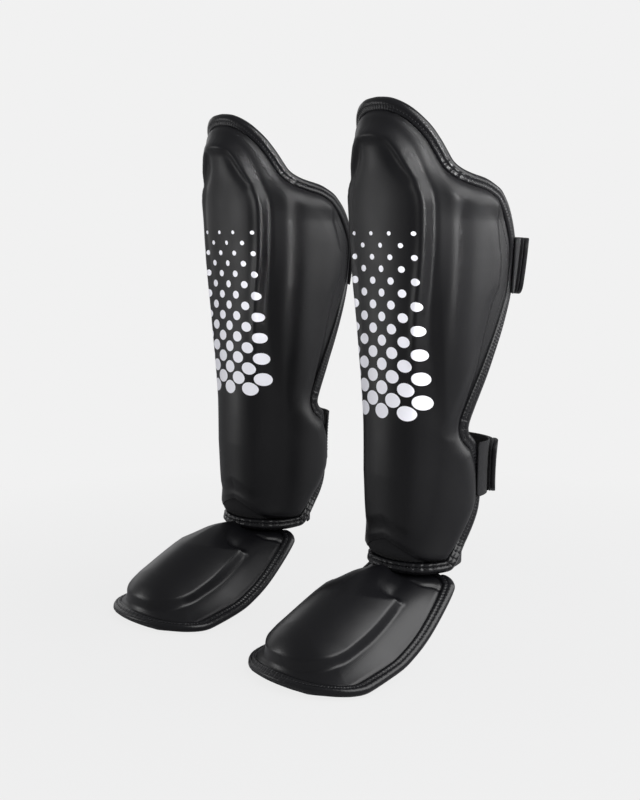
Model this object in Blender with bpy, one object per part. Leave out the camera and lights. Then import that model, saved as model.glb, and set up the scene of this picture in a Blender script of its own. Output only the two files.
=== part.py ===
"""Pair of shin-and-instep guards: moulded foam shells, bound edges, hook-and-loop straps.

Units are metres.  +Z is up the leg, -Y points to the toes and +X to the wearer's left.
The floor plane z = 0 touches the lowest edge of the instep pads.
Each guard is built in its own frame, +x outward (lateral), then mirrored to its side.
"""
import math

import bmesh
import bpy
import numpy as np

# Overall sizes
SHIN_HEIGHT = 0.381          # bottom edge to the top of the knee lobe
SHIN_RISE = 0.0735           # height of the shin part's bottom edge above the floor
FLAP_REACH = 0.118           # half width of the shin part, laid flat, at the upper flaps
FOOT_REACH = 0.1680          # leg axis to the toe edge
FOOT_HALF_WIDTH = 0.0626     # half width of the instep pad
PAIR_SPACING = 0.2080        # between the two leg axes

# Thicknesses, measured along the surface normal from the leg side
LINING = 0.0014
COVER = 0.0013
GAP = 0.0003                 # between sewn layers
FOLD_GAP = 0.0010            # round the folded binding and over the foam, where the layers bend
PAD = 0.0125                 # shin pad, with its cover and lining
PLATE_RAISE = 0.0048         # raised shin plate on the pad
FOOT_PAD = 0.0075
DOME_RAISE = 0.0090          # raised instep dome on the foot pad
BINDING_WALL = 0.0009
BINDING_WIDTH = 0.0085
PAD_EDGE = 0.019             # where the pad reaches its full thickness, from the edge
FOOT_PAD_EDGE = 0.016
WEB = 0.0012                 # ankle gusset
ELASTIC = 0.0016
HOOK = 0.0010
LOOP = 0.0013
TAB = 0.0015

# Straps
STRAP_WIDTH = 0.046
UPPER_STRAP = 0.657          # strap heights, as parts of the shin height
LOWER_STRAP = 0.220
STRAP_LAP = 0.0075           # sewn length of the anchor and of the loop panel on the binding
STRAP_PITCH = 0.0075         # spacing of the sections where the strap's layers lie on each other
TAB_PITCHES = 2              # pull tab's length, in those sections
HOOK_PITCHES = 5
LOOP_PITCHES = 7             # loop panel's length beyond the flap
ANKLE_BAND_WIDTH = 0.036
ANKLE_BAND_LAP = 0.005        # sewn under the edge of the ankle
BAND_SLACK = 0.018           # the band, not stretched, cuts this far inside the leg's back

# Leg form: part of the shin height, half width, front depth, back depth
LEG_STATIONS = (
    (-0.10, 0.039, 0.052, 0.036),
    (0.00, 0.039, 0.048, 0.036),
    (0.10, 0.039, 0.0435, 0.035),
    (0.27, 0.041, 0.042, 0.035),
    (0.54, 0.048, 0.046, 0.058),
    (0.75, 0.053, 0.050, 0.070),
    (0.88, 0.054, 0.0525, 0.067),
    (1.00, 0.054, 0.061, 0.064),
    (1.10, 0.054, 0.066, 0.062),
)
SECTION_POWER = 2.3          # above 2 flattens the front of the leg section

# Half outline laid flat: parts of FLAP_REACH and SHIN_HEIGHT
LOBE = ((0, 1.0), (0.13, 0.995), (0.25, 0.976), (0.345, 0.943), (0.425, 0.907), (0.510, 0.878),
        (0.60, 0.856), (0.71, 0.836), (0.83, 0.815))
FLAPS = ((0.83, 0.815), (0.91, 0.783), (0.99, 0.737), (1.045, 0.695), (1.05, 0.640), (1.025, 0.590),
         (0.955, 0.553), (0.745, 0.447), (0.525, 0.321), (0.60, 0.276), (0.655, 0.218), (0.66, 0.150),
         (0.60, 0.100), (0.43, 0.008))
HEM = ((0.43, 0.008), (0.25, 0.002), (0, 0))
# The inward side reaches farther round the calf: part of the shin height, factor
INWARD_REACH = ((0, 1.20), (0.10, 1.215), (0.20, 1.22), (0.33, 1.22), (0.42, 1.16), (0.52, 1.135),
                (0.58, 1.13), (0.64, 1.135), (0.70, 1.13), (0.76, 1.09), (0.82, 1.03))
SEAM_CENTRE = 0.070          # ankle seam's height on the centre line, part of SHIN_HEIGHT
SEAM_SIDE = 0.037            # and along the flap edge, part of its length

# Raised plate: part of the shin height, half width in metres
PLATE_WIDTHS = ((0.06, 0.025), (0.28, 0.027), (0.51, 0.031), (0.69, 0.0365), (0.80, 0.0375),
                (0.85, 0.027), (0.90, 0.016))
PLATE_BEVEL = 0.004

# Foot form: parts of the run from the ankle collar to the toe edge
FOOT_CENTRE = ((0, 0), (0, 0.12), (0.03, 0.19), (0.11, 0.235), (0.26, 0.285), (0.43, 0.40), (0.60, 0.55),
               (0.79, 0.745), (0.90, 0.855), (1, 1))
FOOT_EDGE = ((0.52, 0.0, 0.15), (0.72, 0.0, 0.215), (0.80, 0.050, 0.308), (0.91, 0.270, 0.613),
             (0.96, 0.439, 0.793), (0.985, 0.584, 0.892), (0.995, 0.88, 0.998), (0.93, 1.0, 1.0))
TOE_RISE = 0.003             # toe centre above the lowest corner of the foot pad
TOE_SETBACK = 0.0140         # toe corners lie this far behind the toe centre
COLLAR_HEIGHT = 0.009        # foot pad's top edge above the shin part's bottom edge
COLLAR_HALF = 0.043          # its half length round the ankle
COLLAR_ROW = 0.0104           # spacing of its first rows
COLLAR_INSET = 0.0087        # its leg side, inside the shin lining
DOME_ROWS = (0.34, 0.40, 0.82, 0.88)
DOME_COLUMNS = (0.55, 0.69)


def clear_scene():
    for item in list(bpy.data.objects):
        bpy.data.objects.remove(item, do_unlink=True)


def through(points, per=12):
    """Smooth curve through hand-placed points (Catmull-Rom)."""
    p = np.asarray(points, float)
    p = np.vstack([2 * p[0] - p[1], p, 2 * p[-1] - p[-2]])
    out = []
    for a, b, c, d in zip(p, p[1:], p[2:], p[3:]):
        for t in np.arange(per) / per:
            out.append(0.5 * (2 * b + (c - a) * t + (2 * a - 5 * b + 4 * c - d) * t ** 2
                              + (3 * b - a - 3 * c + d) * t ** 3))
    out.append(p[-2])
    return np.array(out)


def along(curve, f):
    """Point at the fraction f of a curve's length, carried on straight past either end."""
    steps = np.linalg.norm(np.diff(curve, axis=0), axis=1)
    run = np.concatenate([[0], np.cumsum(steps)])
    if f < 0:
        return curve[0] + (curve[0] - curve[1]) / steps[0] * (-f) * run[-1]
    if f > 1:
        return curve[-1] + (curve[-1] - curve[-2]) / steps[-1] * (f - 1) * run[-1]
    return np.array([np.interp(f * run[-1], run, curve[:, k]) for k in range(curve.shape[1])])


def length(curve):
    return np.linalg.norm(np.diff(curve, axis=0), axis=1).sum()


def mix(a, b, t):
    return a + (b - a) * t


# Leg form

LEG_CURVE = through(LEG_STATIONS)


def section(h):
    """Half section of the leg at height h: arc length from the front, x and y."""
    width, front, back = (np.interp(h / SHIN_HEIGHT, LEG_CURVE[:, 0], LEG_CURVE[:, k]) for k in (1, 2, 3))
    t = np.linspace(0, math.pi, 241)
    x = width * np.abs(np.sin(t)) ** (2 / SECTION_POWER)
    y = -np.sign(np.cos(t)) * np.abs(np.cos(t)) ** (2 / SECTION_POWER)
    y = np.where(y < 0, y * front, y * back)
    return np.concatenate([[0], np.cumsum(np.hypot(np.diff(x), np.diff(y)))]), x, y


def leg_on(s, h):
    """Point on the leg: s runs round from the front, outward side positive, past the back if long."""
    arc, x, y = section(h)
    half = arc[-1]
    s = (s + half) % (2 * half) - half
    return np.array([math.copysign(np.interp(abs(s), arc, x), s), np.interp(abs(s), arc, y), SHIN_RISE + h])


def leg_at(s, h, n=0.0, step=0.0015):
    """Point at the distance n outside the leg surface."""
    round_leg = leg_on(s + step, h) - leg_on(s - step, h)
    up_leg = leg_on(s, h + step) - leg_on(s, h - step)
    normal = np.cross(round_leg, up_leg)
    return leg_on(s, h) + normal * (n / np.linalg.norm(normal))


def half_girth(h):
    return section(h)[0][-1]


# Shin part laid flat

SCALE = np.array([FLAP_REACH, SHIN_HEIGHT])
LOBE_CURVE = through(LOBE) * SCALE
FLAP_CURVE = (through(FLAPS) * SCALE)[::-1]
HEM_CURVE = (through(HEM) * SCALE)[::-1]
PLATE_CURVE = through(PLATE_WIDTHS)


def inward_shift(edge):
    """How much farther than an outward edge point the inward one lies."""
    return edge[0] * (np.interp(edge[1] / SHIN_HEIGHT, *np.transpose(INWARD_REACH)) - 1)


def flap_edges(h_low, h_high):
    """Farthest reach of the outward and the inward flap edge between two heights."""
    edge = FLAP_CURVE[(FLAP_CURVE[:, 1] > h_low) & (FLAP_CURVE[:, 1] < h_high)]
    return edge[:, 0].max(), max(point[0] + inward_shift(point) for point in edge)


def centre_height(v):
    return SHIN_HEIGHT * np.interp(v, (0, SEAM_SIDE, 1), (0, SEAM_CENTRE, 1))


def shin_flat(a, v):
    """Coons patch of the half outline: a from the centre line to the edge, v from hem to lobe."""
    hem, lobe, edge = along(HEM_CURVE, a), along(LOBE_CURVE, a), along(FLAP_CURVE, v)
    centre = np.array([0, centre_height(v)])
    corners = mix(mix(HEM_CURVE[0], HEM_CURVE[-1], a), mix(LOBE_CURVE[0], LOBE_CURVE[-1], a), v)
    return mix(hem, lobe, v) + mix(centre, edge, a) - corners


def shin_rows():
    """Row positions, and the index of the rows where each feature starts."""
    run = length(FLAP_CURVE)
    bind, full = BINDING_WIDTH / run, PAD_EDGE / run
    seam = (SEAM_SIDE - GAP / run / 2, SEAM_SIDE + GAP / run / 2)
    rows = [0, min(bind, SEAM_SIDE * 0.6), *seam, SEAM_SIDE + 0.030, SEAM_SIDE + 0.050]
    rows += [0.118, 0.15, 0.18, 0.21, 0.27, 0.33, 0.385, 0.43]
    rows += [0.50, 0.57, 0.64, 0.71, 0.78, 0.84, 0.885, 0.917]
    return rows + [1 - full, 1 - bind, 1]


SHIN_ROWS = shin_rows()
ROW_SEAM = 3                              # cover starts on this row, ankle panel ends on the one below
ROW_PLATE = (5, len(SHIN_ROWS) - 5)       # first and last row on the plate


def shin_columns(v):
    """Column positions on one half: centre, plate edge, flank, pad edge, binding, outline."""
    reach = along(FLAP_CURVE, v)[0]
    plate = np.interp(centre_height(v) / SHIN_HEIGHT, PLATE_CURVE[:, 0], PLATE_CURVE[:, 1])
    inner, outer = (min((plate + k * PLATE_BEVEL) / reach, c) for k, c in ((-1, 0.45), (1, 0.58)))
    full, bind = 1 - PAD_EDGE / reach, 1 - BINDING_WIDTH / reach
    half = [inner / 2, inner, outer, mix(outer, full, 0.38), mix(outer, full, 0.75), full, bind, 1]
    return [-a for a in reversed(half)] + [0] + half


def shin_grid():
    """Stations (s, h) of the shin part, rows from hem to lobe."""
    grid = []
    for v in SHIN_ROWS:
        columns = shin_columns(v)
        shift = inward_shift(along(FLAP_CURVE, v))
        plate, full = columns[-6], columns[-3]
        row = []
        for a in columns:
            s, h = shin_flat(abs(a), v)
            row.append((s, h) if a >= 0 else (-s - shift * np.interp(-a, (plate, full), (0, 1)), h))
        grid.append(row)
    return np.array(grid)


def shin_thickness(rows, columns):
    """Outer surface of the cover: margin, pad, raised plate."""
    out = np.full((rows, columns), LINING + GAP + COVER)
    out[ROW_SEAM + 1:rows - 2, 2:columns - 2] = PAD
    middle = columns // 2
    out[ROW_PLATE[0]:ROW_PLATE[1] + 1, middle - 2:middle + 3] += PLATE_RAISE
    return out


# Foot form

def collar_point(q):
    return leg_at(q * COLLAR_HALF, COLLAR_HEIGHT, -COLLAR_INSET)


def foot_curves():
    """Centre line and lateral edge of the foot pad's leg side."""
    start, corner = collar_point(0), collar_point(1)
    toe = np.array([-FOOT_REACH, TOE_RISE + COVER])
    centre = through(FOOT_CENTRE)
    centre = np.column_stack([centre[:, 0] * 0, mix(start[1], toe[0], centre[:, 0]),
                              mix(start[2], toe[1], centre[:, 1])])
    edge = [corner]
    for x, y, z in FOOT_EDGE:
        edge.append((x * FOOT_HALF_WIDTH, mix(corner[1], TOE_SETBACK - FOOT_REACH, y),
                     mix(corner[2], BINDING_WALL + GAP + COVER, z)))
    return centre, through(edge)


FOOT_CURVES = foot_curves()


def foot_on(p, q):
    """Leg side of the foot pad: p from the ankle collar to the toe, q across."""
    centre, edge = (along(c, p) for c in FOOT_CURVES)
    power, blunt = np.interp(p, (0, 0.2, 1), (2.4, 1.6, 1.7)), 0.25
    rise = [(t * t + blunt ** 2) ** (power / 2) - blunt ** power for t in (q, 1.0)]
    drop = rise[0] / rise[1]
    return np.array([edge[0] * q, mix(centre[1], edge[1], drop), mix(centre[2], edge[2], drop)])


def foot_at(p, q, n=0.0, step=0.01):
    across = foot_on(p, q + step) - foot_on(p, q - step)
    down = foot_on(p + step, q) - foot_on(p - step, q)
    normal = np.cross(down, across)
    return foot_on(p, q) + normal * (n / np.linalg.norm(normal))


def foot_rows():
    run = length(FOOT_CURVES[0])
    collar = [k * COLLAR_ROW / run for k in (0, 1, 2)]
    return [*collar, 0.22, *DOME_ROWS[:2], 0.50, 0.61, 0.72, *DOME_ROWS[2:],
            1 - FOOT_PAD_EDGE / run, 1 - BINDING_WIDTH / run, 1]


FOOT_ROWS = foot_rows()
ROW_FOOT_PAD = 3
ROW_DOME = (5, 9)
SOLE_ROWS = slice(6, 9)
SOLE_SAG = 0.003


def foot_columns():
    reach = FOOT_HALF_WIDTH * 1.2
    half = [0.29, *DOME_COLUMNS, 1 - FOOT_PAD_EDGE / reach, 1 - BINDING_WIDTH / reach, 1]
    return [-q for q in reversed(half)] + [0] + half


def foot_grid():
    return np.array([[(p, q) for q in foot_columns()] for p in FOOT_ROWS])


def foot_thickness(rows, columns):
    out = np.full((rows, columns), LINING + GAP + COVER)
    out[ROW_FOOT_PAD:rows - 2, 2:columns - 2] = FOOT_PAD
    middle = columns // 2
    out[ROW_DOME[0]:ROW_DOME[1] + 1, middle - 2:middle + 3] += DOME_RAISE
    return out


# Solids

def material(name, colour, roughness):
    mat = bpy.data.materials.new(name)
    mat.use_nodes = True
    shader = mat.node_tree.nodes["Principled BSDF"]
    shader.inputs["Base Color"].default_value = (*colour, 1)
    shader.inputs["Roughness"].default_value = roughness
    return mat


LOOKS = {
    "pu_leather": ((0.012, 0.012, 0.013), 0.38),
    "binding_vinyl": ((0.008, 0.008, 0.009), 0.28),
    "foam": ((0.10, 0.10, 0.11), 0.9),
    "lining_cloth": ((0.02, 0.02, 0.022), 0.85),
    "neoprene": ((0.015, 0.015, 0.016), 0.6),
    "elastic": ((0.014, 0.014, 0.015), 0.8),
    "hook_tape": ((0.010, 0.010, 0.011), 0.9),
    "loop_tape": ((0.018, 0.018, 0.019), 0.95),
}


def grid_faces(rows, columns, offset=0, closed=False):
    """Triangles of a rows-by-columns grid, all split the same way so that stacked layers match."""
    faces = []
    for i in range(rows - 1):
        for j in range(columns if closed else columns - 1):
            k = (j + 1) % columns
            a, b = offset + i * columns, offset + (i + 1) * columns
            faces += [(a + j, a + k, b + k), (a + j, b + k, b + j)]
    return faces


def slab(low, high):
    """Closed solid between two matching grids of points."""
    rows, columns = low.shape[:2]
    count = rows * columns
    faces = grid_faces(rows, columns) + [f[::-1] for f in grid_faces(rows, columns, count)]
    rim = perimeter(rows, columns)
    for a, b in zip(rim, rim[1:] + rim[:1]):
        i, j = a[0] * columns + a[1], b[0] * columns + b[1]
        faces += [(i, i + count, j + count), (i, j + count, j)]
    return np.vstack([low.reshape(-1, 3), high.reshape(-1, 3)]), faces


def tube(rings, closed):
    """Solid swept through matching rings of points."""
    rings = np.array(rings)
    count, around = rings.shape[:2]
    faces = grid_faces(count, around, closed=True)
    if closed:
        last = (count - 1) * around
        for j in range(around):
            k = (j + 1) % around
            faces += [(last + j, last + k, k), (last + j, k, j)]
    else:
        faces += [tuple(range(around))[::-1], tuple(range((count - 1) * around, count * around))]
    return rings.reshape(-1, 3), faces


def perimeter(rows, columns):
    """Grid indices once round the outside of a grid."""
    rim = [(0, j) for j in range(columns)] + [(i, columns - 1) for i in range(1, rows)]
    rim += [(rows - 1, j) for j in range(columns - 2, -1, -1)] + [(i, 0) for i in range(rows - 2, 0, -1)]
    return rim


def lift(grid, heights, place):
    """Points of a grid of stations, each at its own height above the form."""
    heights = np.broadcast_to(heights, grid.shape[:2])
    return np.array([[place(*st, n) for st, n in zip(row, line)] for row, line in zip(grid, heights)])


def sheet(grid, low, high, place):
    return slab(lift(grid, low, place), lift(grid, high, place))


def binding_ring(edge, inside, place):
    """C-shaped section of the edge binding, from the outline and the row inside it."""
    reach = np.linalg.norm(place(*inside, 0) - place(*edge, 0))
    leg, near, far = 0.92, -1.2 * FOLD_GAP / reach, -(1.2 * FOLD_GAP + BINDING_WALL) / reach
    top, bottom = LINING + GAP + COVER + FOLD_GAP, -FOLD_GAP
    corners = [(leg, top + BINDING_WALL), (far, top + BINDING_WALL), (far, bottom - BINDING_WALL),
               (leg, bottom - BINDING_WALL), (leg, bottom), (near, bottom), (near, top), (leg, top)]
    return [mix(place(*edge, n), place(*inside, n), t) for t, n in corners]


def inner_ring(rows, columns):
    """For each index round the outside of a grid, the index one step in from it."""
    rim = perimeter(rows, columns)
    return {(i, j): (min(max(i, 1), rows - 2), min(max(j, 1), columns - 2)) for i, j in rim}


def binding(grid, rim, place, closed):
    inside = inner_ring(*grid.shape[:2])
    return tube([binding_ring(grid[key], grid[inside[key]], place) for key in rim], closed)


def pad_core(grid, outer, place):
    """Foam under a cover: the cover's own stations, with the outer ring drawn in from the binding."""
    low = lift(grid, LINING + FOLD_GAP, place)
    high = lift(grid, outer - COVER - FOLD_GAP, place)
    for key, inside in inner_ring(*grid.shape[:2]).items():
        corner = key[0] != inside[0] and key[1] != inside[1]
        share, keep = (0.8, 0.1) if corner else (0.55, 0.5)
        low[key], high[key] = (mix(points[key], points[inside], share) for points in (low, high))
        high[key] = mix(low[key], high[key], keep)
    return slab(low, high)


def leg_band(stations, h_low, h_high, n_low, n_high, strips=1):
    """Band round the leg through stations: arc lengths from the front at its lower and upper edge."""
    levels = np.linspace(0, 1, strips + 1)
    grid = np.array([[(mix(*ends, t), mix(h_low, h_high, t)) for t in levels] for ends in stations])
    low, high = (np.broadcast_to(n, len(stations))[:, None] for n in (n_low, n_high))
    return sheet(grid, low, high, leg_at)


def level_stations(arcs):
    return [(s, s) for s in arcs]


def back_stations(start, end, h_low, h_high, pieces):
    """Stations from a mark on the outward side round the back to one on the inward side."""
    stops = [2 * half_girth(h) - end for h in (h_low, h_high)]
    return [tuple(mix(start, stop, g) for stop in stops) for g in np.linspace(0, 1, pieces + 1)]


class Guard:
    """One guard, mirrored to its side and placed in the pair."""

    def __init__(self, side):
        self.side = side
        self.sign = 1 if side == "left" else -1
        self.place = np.array([self.sign * PAIR_SPACING / 2, 0, 0])

    def world(self, point):
        return np.asarray(point) * (self.sign, 1, 1) + self.place

    def add(self, name, solid, look, parent=None):
        points, faces = solid
        full = f"{self.side}_{name}"
        mesh = bpy.data.meshes.new(full)
        origin = np.array(parent.location) if parent else np.zeros(3)
        mesh.from_pydata([tuple(self.world(p) - origin) for p in points], [], faces)
        bm = bmesh.new()
        bm.from_mesh(mesh)
        bmesh.ops.triangulate(bm, faces=bm.faces)
        bmesh.ops.recalc_face_normals(bm, faces=bm.faces)
        bm.to_mesh(mesh)
        bm.free()
        item = bpy.data.objects.new(full, mesh)
        mesh.materials.append(material(f"{full}_{look}", *LOOKS[look]))
        item.parent = parent
        bpy.context.collection.objects.link(item)
        return item

    def axis(self, name, point):
        """Empty that marks a joint's place."""
        empty = bpy.data.objects.new(f"{self.side}_{name}", None)
        empty.location = self.world(point)
        bpy.context.collection.objects.link(empty)
        return empty


def build_shin(guard):
    grid = shin_grid()
    rows, columns = grid.shape[:2]
    outer = shin_thickness(rows, columns)
    lining_top = LINING + GAP
    guard.add("shin_lining", sheet(grid, 0, LINING, leg_at), "lining_cloth")
    guard.add("shin_cover", sheet(grid[ROW_SEAM:], outer[ROW_SEAM:] - COVER, outer[ROW_SEAM:], leg_at),
              "pu_leather")
    panel = grid[:ROW_SEAM]
    guard.add("ankle_panel", sheet(panel, lining_top, lining_top + COVER, leg_at), "neoprene")
    flat = np.minimum(outer, PAD)
    inside = (slice(ROW_SEAM, rows - 1), slice(1, columns - 1))
    guard.add("shin_foam", pad_core(grid[inside], flat[inside], leg_at), "foam")
    middle = columns // 2
    first, last = ROW_PLATE
    core = grid[first:last + 1, middle - 2:middle + 3]
    base = PAD - COVER
    guard.add("shin_plate_foam", sheet(core, base, base + PLATE_RAISE - GAP, leg_at), "foam")
    guard.add("shin_binding", binding(grid, perimeter(rows, columns), leg_at, True), "binding_vinyl")


def build_ankle(guard):
    """Gusset web that carries the foot pad, and the elastic behind the ankle."""
    under = -FOLD_GAP - BINDING_WALL - GAP
    round_leg = [shin_flat(abs(a), 0)[0] * math.copysign(1, a) for a in shin_columns(0)[6:-6]]
    stations = np.array([[(s, h) for s in round_leg] for h in (0.002, 0.016, 0.034)])
    guard.add("ankle_gusset", sheet(stations, under - WEB, under, leg_at), "neoprene")
    middle = SHIN_HEIGHT * 0.03
    low, high = middle - ANKLE_BAND_WIDTH / 2, middle + ANKLE_BAND_WIDTH / 2
    start, end = (edge - ANKLE_BAND_LAP for edge in flap_edges(middle * 0.5, high))
    top = under - GAP
    slack = top - BAND_SLACK * np.sin(np.linspace(0, math.pi, 19))
    band = leg_band(back_stations(start, end, low, high, 18), low, high, slack - ELASTIC, slack)
    guard.add("ankle_band", band, "elastic")


def build_strap(guard, name, height):
    """Elastic strap: sewn on the inward flap, closed by hook and loop on the outward flap."""
    middle = SHIN_HEIGHT * height
    low, high = middle - STRAP_WIDTH / 2, middle + STRAP_WIDTH / 2
    edge, inward = flap_edges(low, high)
    seat = LINING + GAP + COVER + FOLD_GAP + BINDING_WALL + FOLD_GAP
    hook_level = seat + LOOP + GAP
    strap_level = hook_level + HOOK + GAP
    tab_level = strap_level + ELASTIC + GAP
    marks = edge + STRAP_PITCH * np.arange(LOOP_PITCHES + 1)
    start = marks[1]

    loop = level_stations([edge - STRAP_LAP, *marks])
    guard.add(f"{name}_loop_panel", leg_band(loop, low, high, seat, seat + LOOP), "loop_tape")
    sewn = level_stations([-inward + STRAP_LAP, -inward])
    anchor = leg_band(sewn, low, high, seat, seat + ELASTIC, strips=3)
    guard.add(f"{name}_strap_anchor", anchor, "elastic")

    hinge = guard.axis(f"{name}_strap_axis", leg_at(-inward - GAP, middle, seat + ELASTIC))
    lapped = level_stations(marks[1:])
    free = back_stations(marks[-1], inward + 8 * GAP, low, high, 18)[1:]
    levels = np.full(len(lapped) + len(free), seat)
    levels[:len(lapped)] = strap_level
    levels[len(lapped):len(lapped) + 5] = np.linspace(strap_level, seat, 6)[1:]
    strap = leg_band(lapped + free, low, high, levels, levels + ELASTIC)
    guard.add(f"{name}_strap", strap, "elastic", hinge)
    hook = leg_band(lapped[:HOOK_PITCHES + 1], low, high, hook_level, hook_level + HOOK)
    guard.add(f"{name}_hook_pad", hook, "hook_tape", hinge)
    tab = leg_band(lapped[:TAB_PITCHES + 1], low, high, tab_level, tab_level + TAB)
    guard.add(f"{name}_strap_tab", tab, "pu_leather", hinge)


def build_foot(guard):
    """Instep pad; it swings with the web about the ends of its collar."""
    grid = foot_grid()
    rows, columns = grid.shape[:2]
    outer = foot_thickness(rows, columns)
    hinge = guard.axis("ankle_axis", collar_point(1) * (0, 1, 1))
    guard.add("foot_lining", sheet(grid, 0, LINING, foot_at), "lining_cloth", hinge)
    guard.add("foot_cover", sheet(grid, outer - COVER, outer, foot_at), "pu_leather", hinge)
    flat = np.minimum(outer, FOOT_PAD)
    inside = (slice(ROW_FOOT_PAD, rows - 1), slice(1, columns - 1))
    guard.add("foot_foam", pad_core(grid[inside], flat[inside], foot_at), "foam", hinge)
    middle = columns // 2
    core = grid[ROW_DOME[0]:ROW_DOME[1] + 1, middle - 2:middle + 3]
    base = FOOT_PAD - COVER
    dome = sheet(core, base, base + DOME_RAISE - GAP, foot_at)
    guard.add("foot_dome_foam", dome, "foam", hinge)
    first = 2
    rim = [(i, columns - 1) for i in range(first, rows)]
    rim += [(rows - 1, j) for j in range(columns - 2, -1, -1)]
    rim += [(i, 0) for i in range(rows - 2, first - 1, -1)]
    guard.add("foot_binding", binding(grid, rim, foot_at, False), "binding_vinyl", hinge)
    guard.add("sole_strap", sole_strap(), "elastic", hinge)


def sole_strap():
    """Elastic stretched under the foot between the pad's two edges."""
    under = -FOLD_GAP - ELASTIC / 2
    tail, bend = (foot_columns()[k] for k in (-2, -3))
    lines = []
    for p in FOOT_ROWS[SOLE_ROWS]:
        ends = [foot_at(p, q, under) for q in (bend, tail - 0.003)]
        centre = ends[0] * (0, 1, 1) - (0, 0, SOLE_SAG)
        half = [centre, mix(centre, ends[0], 0.6) - (0, 0, SOLE_SAG / 3), *ends]
        lines.append([point * (-1, 1, 1) for point in half[:0:-1]] + half)
    lines = np.array(lines)
    rings = []
    for k in range(lines.shape[1]):
        before, after = max(k - 1, 0), min(k + 1, lines.shape[1] - 1)
        normal = np.cross(lines[0, after] - lines[0, before], lines[-1, k] - lines[0, k])
        offset = normal / np.linalg.norm(normal) * ELASTIC / 2
        rings.append([*(lines[:, k] - offset), *(lines[::-1, k] + offset)])
    return tube(rings, False)


clear_scene()
for side in ("left", "right"):
    guard = Guard(side)
    build_shin(guard)
    build_ankle(guard)
    build_strap(guard, "upper", UPPER_STRAP)
    build_strap(guard, "lower", LOWER_STRAP)
    build_foot(guard)
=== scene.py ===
import math

import bpy
import numpy as np
from mathutils import Matrix, Vector, kdtree


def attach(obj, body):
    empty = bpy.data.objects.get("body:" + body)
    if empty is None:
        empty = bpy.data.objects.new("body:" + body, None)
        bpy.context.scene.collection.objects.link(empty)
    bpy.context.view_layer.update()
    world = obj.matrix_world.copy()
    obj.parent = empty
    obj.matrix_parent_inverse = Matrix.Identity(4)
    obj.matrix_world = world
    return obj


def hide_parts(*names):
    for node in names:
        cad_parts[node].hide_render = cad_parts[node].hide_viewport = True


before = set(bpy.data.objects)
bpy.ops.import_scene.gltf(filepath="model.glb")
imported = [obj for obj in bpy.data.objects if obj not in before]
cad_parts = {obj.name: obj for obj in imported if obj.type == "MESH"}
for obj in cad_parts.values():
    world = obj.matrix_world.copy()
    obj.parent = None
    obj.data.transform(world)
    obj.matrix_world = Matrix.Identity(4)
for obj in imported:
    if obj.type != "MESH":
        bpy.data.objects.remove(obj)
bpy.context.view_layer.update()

# Sizes in metres, the same as in the CAD source
SHIN_HEIGHT = 0.381
SHIN_RISE = 0.0735
FLAP_REACH = 0.118
FOOT_REACH = 0.1725
FOOT_HALF_WIDTH = 0.0626
PAIR_SPACING = 0.208
LINING = 0.0014
MARGIN = 0.0030              # lining and cover lying on each other
PAD = 0.0125
PLATE_RAISE = 0.0048
FOOT_PAD = 0.0075
DOME_RAISE = 0.0090
PAD_EDGE = 0.019
STRAP_WIDTH = 0.046
STRAP_HEIGHTS = {"upper": 0.657 * SHIN_HEIGHT, "lower": 0.220 * SHIN_HEIGHT}
STRAP_LAP = 0.0075
STRAP_PITCH = 0.0075
STITCH = 0.0029
SEAT = 0.0059                # straps lie this far above the leg side of the flaps
LOOP, HOOK, ELASTIC, TAB, GAP = 0.0013, 0.0010, 0.0016, 0.0015, 0.0003
ANKLE_BAND_WIDTH, BAND_SLACK = 0.036, 0.018
UNDER = -0.0022              # layers inside the folded binding

LEG_STATIONS = ((-0.10, .039, .052, .036), (0, .039, .048, .036), (0.10, .039, .0435, .035),
                (0.27, .041, .042, .035), (0.54, .048, .0420, .058), (0.70, .0519, .0420, .068), (0.80, .0536, .0442, .0695),
                (0.88, .054, .0525, .067), (0.94, .054, .0595, .066), (1, .054, .0650, .064), (1.10, .054, .071, .062))
BACK_POWER = 2.3
FRONT_POWERS = ((0.35, 2.3), (0.58, 2.7), (0.80, 2.7), (0.92, 2.35))
LOBE = ((0, 1.0), (0.13, 0.995), (0.25, 0.976), (0.350, 0.943), (0.398, 0.915), (0.430, 0.890), (0.460, 0.868),
        (0.515, 0.853), (0.59, 0.843), (0.71, 0.833), (0.83, 0.815))
FLAPS = ((0.83, 0.815), (0.91, 0.783), (0.99, 0.737), (1.045, 0.695), (1.05, 0.640), (1.025, 0.590), (0.955, 0.553),
         (0.745, 0.447), (0.525, 0.321), (0.60, 0.276), (0.655, 0.218), (0.66, 0.150), (0.60, 0.100), (0.43, 0.008))
HEM = ((0.43, 0.008), (0.25, 0.002), (0, 0))
INWARD_REACH = ((0, 1.20), (0.10, 1.215), (0.20, 1.22), (0.33, 1.22), (0.42, 1.145), (0.52, 1.11), (0.58, 1.105),
                (0.64, 1.11), (0.70, 1.105), (0.76, 1.07), (0.82, 1.03))
SEAM_CENTRE, SEAM_SIDE = 0.070, 0.037
FOOT_CENTRE = ((0, 0), (0, 0.12), (0.03, 0.19), (0.11, 0.235), (0.26, 0.285), (0.43, 0.40), (0.60, 0.55),
               (0.79, 0.745), (0.90, 0.855), (1, 1))
FOOT_EDGE = ((0.52, 0.0, 0.15), (0.72, 0.0, 0.215), (0.80, 0.050, 0.308), (0.91, 0.270, 0.613),
             (0.96, 0.439, 0.793), (0.985, 0.584, 0.892), (1.015, 0.87, 0.998), (0.97, 1.0, 1.0))
TOE_RISE, TOE_SETBACK = 0.003, 0.0150
COLLAR_HEIGHT, COLLAR_HALF, COLLAR_INSET = 0.009, 0.043, 0.0087

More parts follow.
